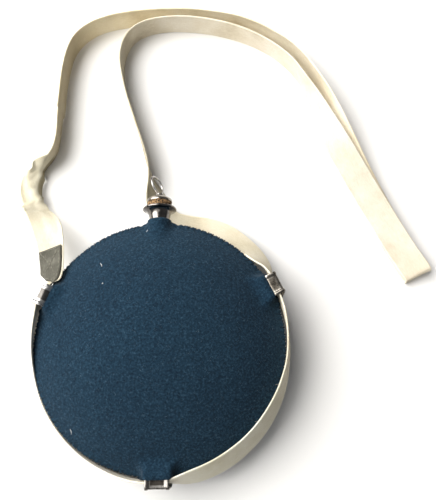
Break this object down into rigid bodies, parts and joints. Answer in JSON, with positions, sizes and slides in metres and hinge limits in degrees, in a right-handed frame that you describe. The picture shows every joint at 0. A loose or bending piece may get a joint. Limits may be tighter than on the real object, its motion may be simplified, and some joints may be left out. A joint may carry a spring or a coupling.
{
  "type": "canteen",
  "caption": "Round lens-shaped tin canteen in a felt cover, with a corked neck, a wire pull ring, three rim loops and a long cotton sling strap.",
  "frame": {"origin": "centre of the small flat in the middle of the back, on which the canteen lies", "axes": "+Z out of the front face, +Y along the neck towards the mouth, +X to the right when the front is seen with the neck up"},
  "size_m": [0.3665, 0.434, 0.071],
  "materials": {
    "tin": "dull tinplate",
    "loop_tin": "aged, brown-grey tinplate",
    "solder": "dull",
    "pewter": "worn satin",
    "wire": "worn",
    "felt": "fulled wool",
    "dark_thread": "matte",
    "cotton_tape": "woven cotton",
    "worn_tape": "soiled woven cotton",
    "pale_thread": "matte",
    "cork": "cork"
  },
  "bodies": {
    "canteen": {"front_shell": "tin", "back_shell": "tin", "rim_solder": "solder", "spout": "pewter", "spout_solder": "solder", "loop_solder": "solder", "strap_loop_right": "loop_tin", "strap_loop_bottom": "loop_tin", "strap_loop_left": "loop_tin", "cover_front": "felt", "cover_back": "felt", "cover_collar": "felt", "cover_stitches": "dark_thread", "strap_free_run": "cotton_tape", "strap_rim_run": "cotton_tape", "strap_lap": "worn_tape", "strap_lap_stitches": "pale_thread"},
    "stopper": {"stopper_cork": "cork", "stopper_cap": "loop_tin", "stopper_washer": "loop_tin"},
    "pull_ring": {"pull_ring": "wire", "shank_clinch": "wire"}
  },
  "joints": [
    {"name": "stopper_pull", "type": "slide", "parent": "canteen", "child": "stopper", "axis": [0, 1, 0], "range_m": [0, 0.045]},
    {"name": "ring_turn", "type": "hinge", "parent": "stopper", "child": "pull_ring", "pos_m": [0, 0.121, 0.036], "axis": [0, 1, 0], "continuous": true}
  ]
}
